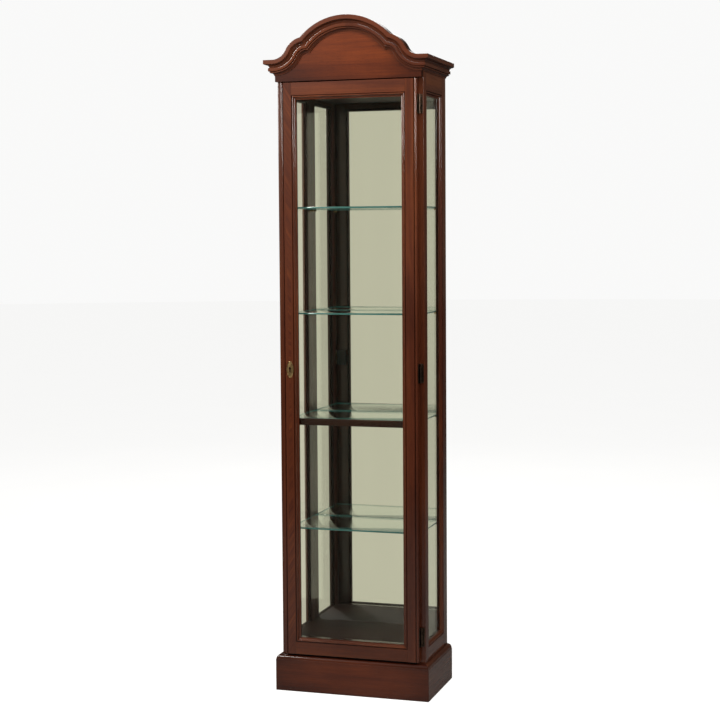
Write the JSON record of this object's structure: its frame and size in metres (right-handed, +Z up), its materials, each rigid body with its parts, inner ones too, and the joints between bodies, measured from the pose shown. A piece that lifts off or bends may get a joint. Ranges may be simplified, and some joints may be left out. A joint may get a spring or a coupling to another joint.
{
  "type": "curio cabinet",
  "caption": "Tall narrow glazed curio cabinet with a bonnet top, a hinged glass door with a lock, glass shelves, a mirror back and a moulded plinth.",
  "frame": {"origin": "middle of the bounding box's underside, on the floor", "axes": "+Z up, front towards -Y, X across the width with the door's hinges at +X"},
  "size_m": [0.5084, 0.3046, 2.032],
  "materials": {
    "cherry": "glossy red-brown lacquer on cherry",
    "cherry_inside": "satin dark stain",
    "back_board": "unfinished plywood",
    "glass": "clear polished",
    "shelf_glass": "clear polished with green edges",
    "mirror": "silvered",
    "brass": "antique brass",
    "bronze": "dark bronze",
    "steel": "zinc-plated"
  },
  "bodies": {
    "case": {"arch_moulding": "cherry", "back_board": "back_board", "back_mirror": "mirror", "base_back": "cherry_inside", "base_front": "cherry", "base_left": "cherry", "base_right": "cherry", "bottom_hinge_case_leaf": "bronze", "ceiling_panel": "cherry_inside", "cornice_left": "cherry", "cornice_right": "cherry", "floor_panel": "cherry_inside", "frieze_board": "cherry", "front_bottom_rail": "cherry", "front_top_rail": "cherry", "left_bottom_rail": "cherry", "left_front_stile": "cherry", "left_rear_stile": "cherry", "left_side_glass": "glass", "left_top_rail": "cherry", "lock_strike": "brass", "lower_shelf_peg_left_front": "brass", "lower_shelf_peg_left_rear": "brass", "lower_shelf_peg_right_front": "brass", "lower_shelf_peg_right_rear": "brass", "middle_hinge_case_leaf": "bronze", "middle_shelf_peg_left_rear": "brass", "middle_shelf_peg_right_rear": "brass", "middle_shelf_rail": "cherry", "right_bottom_rail": "cherry", "right_front_stile": "cherry", "right_rear_stile": "cherry", "right_side_glass": "glass", "right_top_rail": "cherry", "roof_panel": "cherry_inside", "top_hinge_case_leaf": "bronze", "top_shelf_peg_left_front": "brass", "top_shelf_peg_left_rear": "brass", "top_shelf_peg_right_front": "brass", "top_shelf_peg_right_rear": "brass", "upper_shelf_peg_left_front": "brass", "upper_shelf_peg_left_rear": "brass", "upper_shelf_peg_right_front": "brass", "upper_shelf_peg_right_rear": "brass"},
    "door": {"bottom_hinge_door_leaf": "bronze", "door_bottom_rail": "cherry", "door_glass": "glass", "door_left_stile": "cherry", "door_right_stile": "cherry", "door_top_rail": "cherry", "lock_case": "steel", "lock_escutcheon": "brass", "middle_hinge_door_leaf": "bronze", "top_hinge_door_leaf": "bronze"},
    "lock_bolt": {"lock_bolt": "steel"},
    "lower_shelf": {"lower_glass_shelf": "shelf_glass"},
    "middle_shelf": {"middle_glass_shelf": "shelf_glass"},
    "upper_shelf": {"upper_glass_shelf": "shelf_glass"},
    "top_shelf": {"top_glass_shelf": "shelf_glass"}
  },
  "joints": [
    {"name": "door_hinge", "type": "hinge", "parent": "case", "child": "door", "pos_m": [0.2158, -0.10725, 0.979], "axis": [0, 0, 1], "range_deg": [0, 110]},
    {"name": "bolt_slide", "type": "slide", "parent": "door", "child": "lock_bolt", "axis": [-1, 0, 0], "range_m": [0, 0.008]},
    {"name": "lower_shelf_lift", "type": "slide", "parent": "case", "child": "lower_shelf", "axis": [0, 0, 1], "range_m": [0, 0.03]},
    {"name": "middle_shelf_lift", "type": "slide", "parent": "case", "child": "middle_shelf", "axis": [0, 0, 1], "range_m": [0, 0.03]},
    {"name": "upper_shelf_lift", "type": "slide", "parent": "case", "child": "upper_shelf", "axis": [0, 0, 1], "range_m": [0, 0.03]},
    {"name": "top_shelf_lift", "type": "slide", "parent": "case", "child": "top_shelf", "axis": [0, 0, 1], "range_m": [0, 0.03]}
  ]
}
